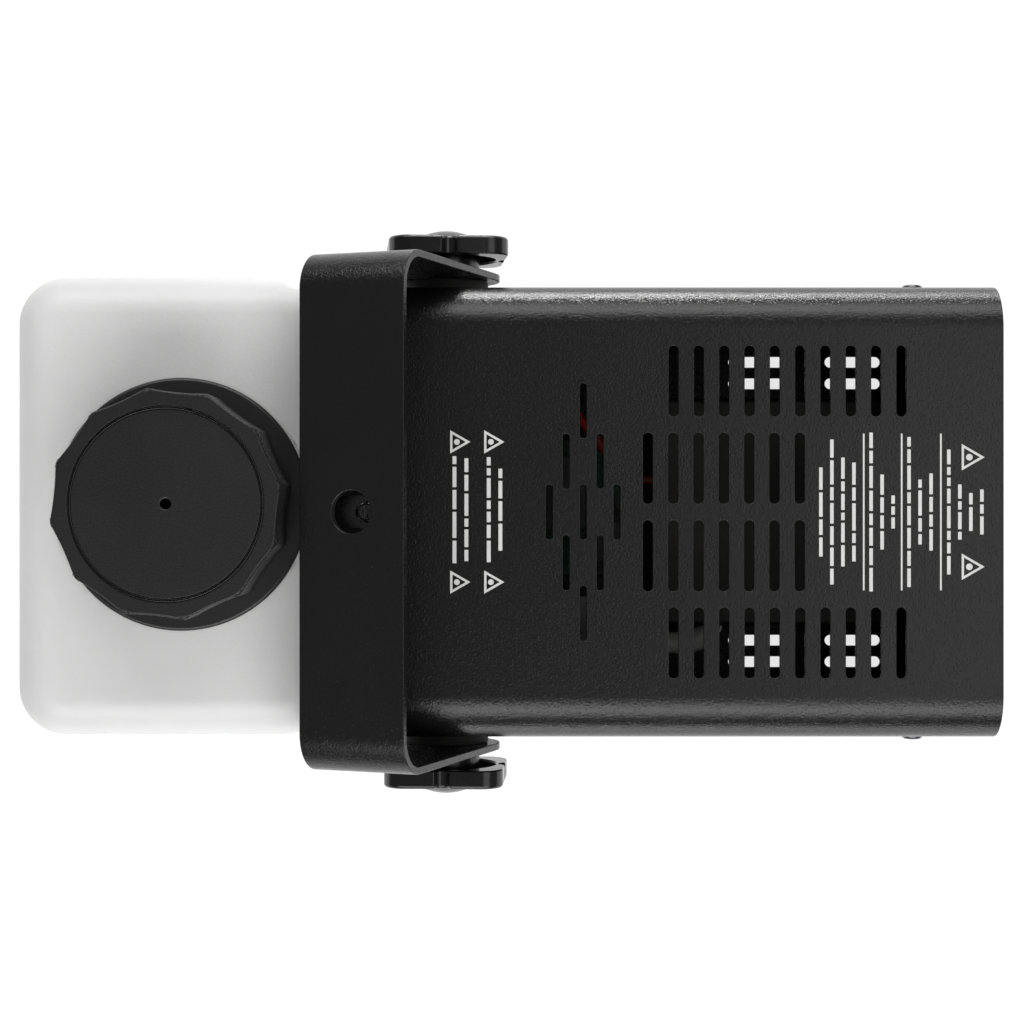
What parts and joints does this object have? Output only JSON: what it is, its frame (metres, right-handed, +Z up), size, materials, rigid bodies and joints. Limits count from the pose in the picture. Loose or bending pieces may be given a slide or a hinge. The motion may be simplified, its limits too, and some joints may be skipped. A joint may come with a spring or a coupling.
{
  "type": "fog machine",
  "caption": "Compact hanging fog machine: folded steel case, translucent rear fluid tank with screw cap, and a tilting U bracket clamped by star knobs.",
  "frame": {"origin": "bottom centre of the bounding box, on the surface that the rubber feet stand on", "axes": "+X towards the nozzle end, +Y to the side of the left knob, +Z up"},
  "size_m": [0.332, 0.1952, 0.144],
  "materials": {
    "case_powder": "textured matt powder coat",
    "strap_powder": "textured matt powder coat",
    "zinc_black": "black zinc",
    "hdpe": "translucent natural polyethylene",
    "cap_plastic": "satin moulded",
    "collar_plastic": "satin moulded",
    "knob_plastic": "glossy thermoset",
    "foot_rubber": "matt",
    "foam": "closed-cell foam",
    "silicone": "matt silicone",
    "zinc_steel": "zinc plated",
    "shield_steel": "heat-stained",
    "screen_ink": "matt ink",
    "brass": "turned",
    "block_alloy": "cast",
    "wool": "ceramic fibre",
    "thermostat_can": "pressed",
    "coil_tape": "varnished winding",
    "fitting_nylon": "moulded nylon",
    "hose_clear": "flexible tube",
    "hose_white": "heat-proof tube",
    "lead_black": "sheathed lead",
    "lead_red": "insulated wire",
    "socket_plastic": "moulded",
    "rocker_plastic": "moulded",
    "fuse_glass": "clear",
    "board_green": "solder mask",
    "component_grey": "moulded"
  },
  "bodies": {
    "case": {"board_components": "component_grey", "board_standoffs": "zinc_steel", "chassis_pan": "case_powder", "clip_screw": "zinc_black", "control_board": "board_green", "control_thermostat": "thermostat_can", "cover_screws": "zinc_black", "earth_stud": "zinc_steel", "feed_fitting": "brass", "feed_hose": "hose_white", "feet_screws": "zinc_black", "filler_collar": "collar_plastic", "front_panel": "case_powder", "heat_shield": "shield_steel", "heater_block": "block_alloy", "heater_lead": "lead_red", "heater_standoffs": "zinc_steel", "heating_element": "zinc_steel", "hose_grommet": "foot_rubber", "inlet_body": "socket_plastic", "inlet_pins": "brass", "insulation_blanket": "wool", "mains_lead": "lead_black", "nozzle_ring": "brass", "nozzle_tube": "zinc_steel", "pickup_filter": "fitting_nylon", "pickup_tube": "hose_clear", "pivot_studs": "zinc_steel", "pump_bracket": "zinc_steel", "pump_chamber": "brass", "pump_coil": "coil_tape", "pump_frame": "zinc_steel", "pump_rubber_mounts": "foot_rubber", "rear_bulkhead": "case_powder", "remote_contacts": "brass", "remote_lead": "lead_black", "remote_socket": "socket_plastic", "rubber_feet": "foot_rubber", "spacer_washers": "foot_rubber", "suction_hose": "hose_clear", "switch_body": "socket_plastic", "tank": "hdpe", "tank_clip": "zinc_black", "tank_outlet": "fitting_nylon", "tank_pad": "foam", "terminal_block": "socket_plastic", "thermal_cutout": "thermostat_can", "top_cover": "case_powder"},
    "bracket": {"bracket_strap": "strap_powder"},
    "knob_left_body": {"knob_left": "knob_plastic", "knob_insert_left": "brass"},
    "knob_right_body": {"knob_right": "knob_plastic", "knob_insert_right": "brass"},
    "cap_lifted": {"cap_seal": "silicone"},
    "cap_turned": {"cap_shell": "cap_plastic"},
    "rocker": {"switch_rocker": "rocker_plastic"},
    "fuse_carrier": {"fuse_drawer": "socket_plastic", "fuse": "fuse_glass"},
    "plunger": {"pump_plunger": "zinc_steel"}
  },
  "joints": [
    {"name": "bracket_tilt", "type": "hinge", "parent": "case", "child": "bracket", "pos_m": [-0.025, 0, 0.066], "axis": [0, 1, 0], "range_deg": [-2, 62]},
    {"name": "knob_left_turn", "type": "hinge", "parent": "case", "child": "knob_left_body", "pos_m": [-0.025, 0.09, 0.066], "axis": [0, 1, 0], "continuous": true},
    {"name": "knob_right_turn", "type": "hinge", "parent": "case", "child": "knob_right_body", "pos_m": [-0.025, -0.09, 0.066], "axis": [0, -1, 0], "continuous": true},
    {"name": "cap_lift", "type": "slide", "parent": "case", "child": "cap_lifted", "axis": [0, 0, 1], "range_m": [0, 0.045]},
    {"name": "cap_turn", "type": "hinge", "parent": "cap_lifted", "child": "cap_turned", "pos_m": [-0.11, 0.0025, 0.125], "axis": [0, 0, 1], "continuous": true},
    {"name": "power_rocker", "type": "hinge", "parent": "case", "child": "rocker", "pos_m": [-0.158, 0, 0.026], "axis": [0, 1, 0], "range_deg": [0, 24]},
    {"name": "fuse_drawer_slide", "type": "slide", "parent": "case", "child": "fuse_carrier", "axis": [-1, 0, 0], "range_m": [0, 0.02]},
    {"name": "plunger_stroke", "type": "slide", "parent": "case", "child": "plunger", "axis": [1, 0, 0], "range_m": [0, 0.0035], "stiffness_N_per_m": 300}
  ]
}
